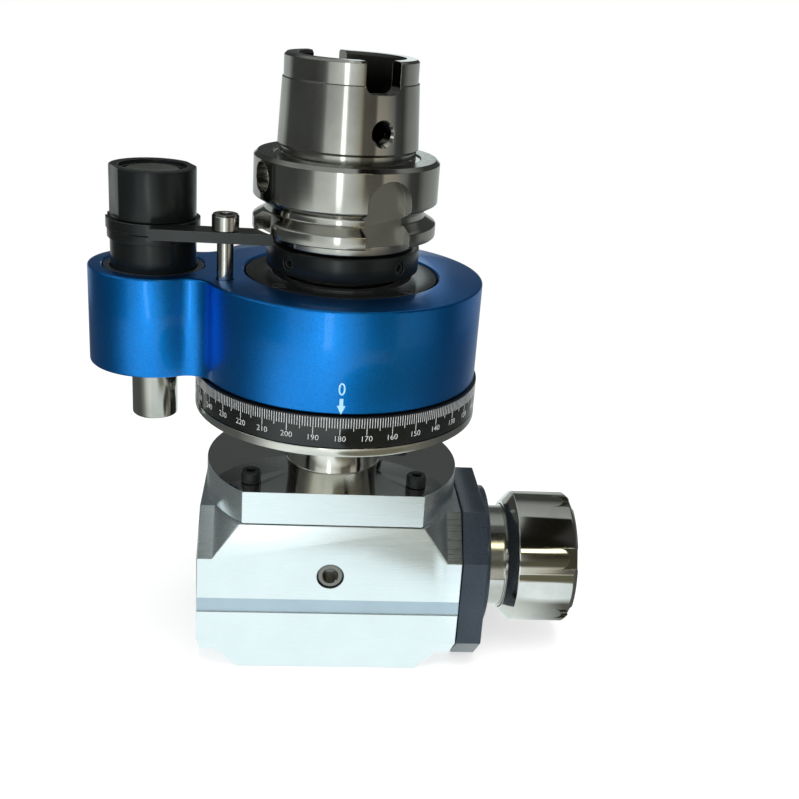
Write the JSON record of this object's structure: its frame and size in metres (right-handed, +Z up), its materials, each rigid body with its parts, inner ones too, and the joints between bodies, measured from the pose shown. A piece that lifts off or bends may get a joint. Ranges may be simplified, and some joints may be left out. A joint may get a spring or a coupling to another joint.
{
  "type": "right-angle milling head",
  "caption": "Right-angle milling head with hollow taper shank, swivelling stop housing, spring locking sleeve, bevel gear housing and collet chuck.",
  "frame": {"origin": "on the spindle axis, at the flat underside of the gear housing", "axes": "+Z up along the input spindle toward the taper shank, +X along the output spindle toward the collet nut, -Y toward the front plug"},
  "size_m": [0.18, 0.101, 0.214],
  "materials": {
    "bright_aluminium": "satin machined, bright nickel",
    "ground_steel": "finely turned and ground",
    "black_oxide": "black oxide satin",
    "gloss_black": "gloss black with engraved scale",
    "metallic_blue": "gloss metallic azure enamel",
    "dark_steel": "dark polished steel",
    "spring_steel": "drawn wire",
    "bearing_brass": "machined brass cage with steel balls",
    "seal_rubber": "matt black"
  },
  "bodies": {
    "gear_head": {"gear_housing": "bright_aluminium", "swivel_column": "ground_steel", "graduated_ring": "gloss_black", "bearing_cover": "black_oxide", "clamp_ring": "dark_steel", "end_cover": "bright_aluminium", "output_plate": "dark_steel", "front_plug": "dark_steel", "spindle_seal": "seal_rubber", "output_seal": "seal_rubber", "column_screw_1": "dark_steel", "column_screw_2": "dark_steel", "column_screw_3": "dark_steel", "column_screw_4": "dark_steel", "plate_screw_1": "dark_steel", "plate_screw_2": "dark_steel", "plate_screw_3": "dark_steel", "plate_screw_4": "dark_steel", "cover_screw_1": "dark_steel", "cover_screw_2": "dark_steel", "cover_screw_3": "dark_steel", "cover_screw_4": "dark_steel", "clamp_bolt_1": "dark_steel", "clamp_bolt_2": "dark_steel", "clamp_bolt_3": "dark_steel", "upper_bearing_outer_ring": "ground_steel", "upper_bearing_cage": "bearing_brass", "lower_bearing_outer_ring": "ground_steel", "lower_bearing_cage": "bearing_brass", "output_bearing_outer_ring": "ground_steel", "output_bearing_cage": "bearing_brass", "rear_bearing_outer_ring": "ground_steel", "rear_bearing_cage": "bearing_brass"},
    "input_spindle": {"taper_shank": "ground_steel", "input_shaft": "ground_steel", "spindle_collar": "black_oxide", "collar_screw_1": "dark_steel", "collar_screw_2": "dark_steel", "draw_screw": "dark_steel", "shaft_lock_nut": "dark_steel", "input_gear": "ground_steel", "input_gear_nut": "dark_steel", "upper_bearing_inner_ring": "ground_steel", "lower_bearing_inner_ring": "ground_steel"},
    "output_spindle": {"collet_chuck": "ground_steel", "output_gear": "ground_steel", "output_gear_nut": "dark_steel", "output_bearing_inner_ring": "ground_steel", "rear_bearing_inner_ring": "ground_steel"},
    "collet_unit": {"spring_collet": "ground_steel"},
    "clamp_nut": {"collet_nut": "ground_steel"},
    "stop_unit": {"stop_housing": "metallic_blue", "pin_set_screw": "dark_steel", "locating_pin": "ground_steel", "sleeve_bush": "black_oxide", "return_spring": "spring_steel"},
    "lock_unit": {"locking_sleeve": "black_oxide", "locking_arm": "black_oxide", "guide_post": "ground_steel", "arm_screw": "ground_steel"}
  },
  "joints": [
    {"name": "input_spin", "type": "hinge", "parent": "gear_head", "child": "input_spindle", "pos_m": [0, 0, 0.182], "axis": [0, 0, 1], "continuous": true},
    {"name": "output_spin", "type": "hinge", "parent": "gear_head", "child": "output_spindle", "pos_m": [0, 0, 0.03], "axis": [1, 0, 0], "continuous": true},
    {"name": "collet_slide", "type": "slide", "parent": "output_spindle", "child": "collet_unit", "axis": [1, 0, 0], "range_m": [0, 0.003]},
    {"name": "nut_turn", "type": "hinge", "parent": "collet_unit", "child": "clamp_nut", "pos_m": [0.08, 0, 0.03], "axis": [1, 0, 0], "range_deg": [0, 719]},
    {"name": "stop_swivel", "type": "hinge", "parent": "gear_head", "child": "stop_unit", "pos_m": [0, 0, 0.12], "axis": [0, 0, 1], "continuous": true},
    {"name": "sleeve_slide", "type": "slide", "parent": "stop_unit", "child": "lock_unit", "axis": [0, 0, 1], "range_m": [-0.006, 0], "stiffness_N_per_m": 1500, "springref_m": 0.006, "deforming": ["return_spring"]}
  ],
  "couplings": [
    {"joint": "output_spin", "follows": "input_spin", "ratio": -1},
    {"joint": "nut_turn", "follows": "collet_slide", "rad_per_m": 4182}
  ]
}
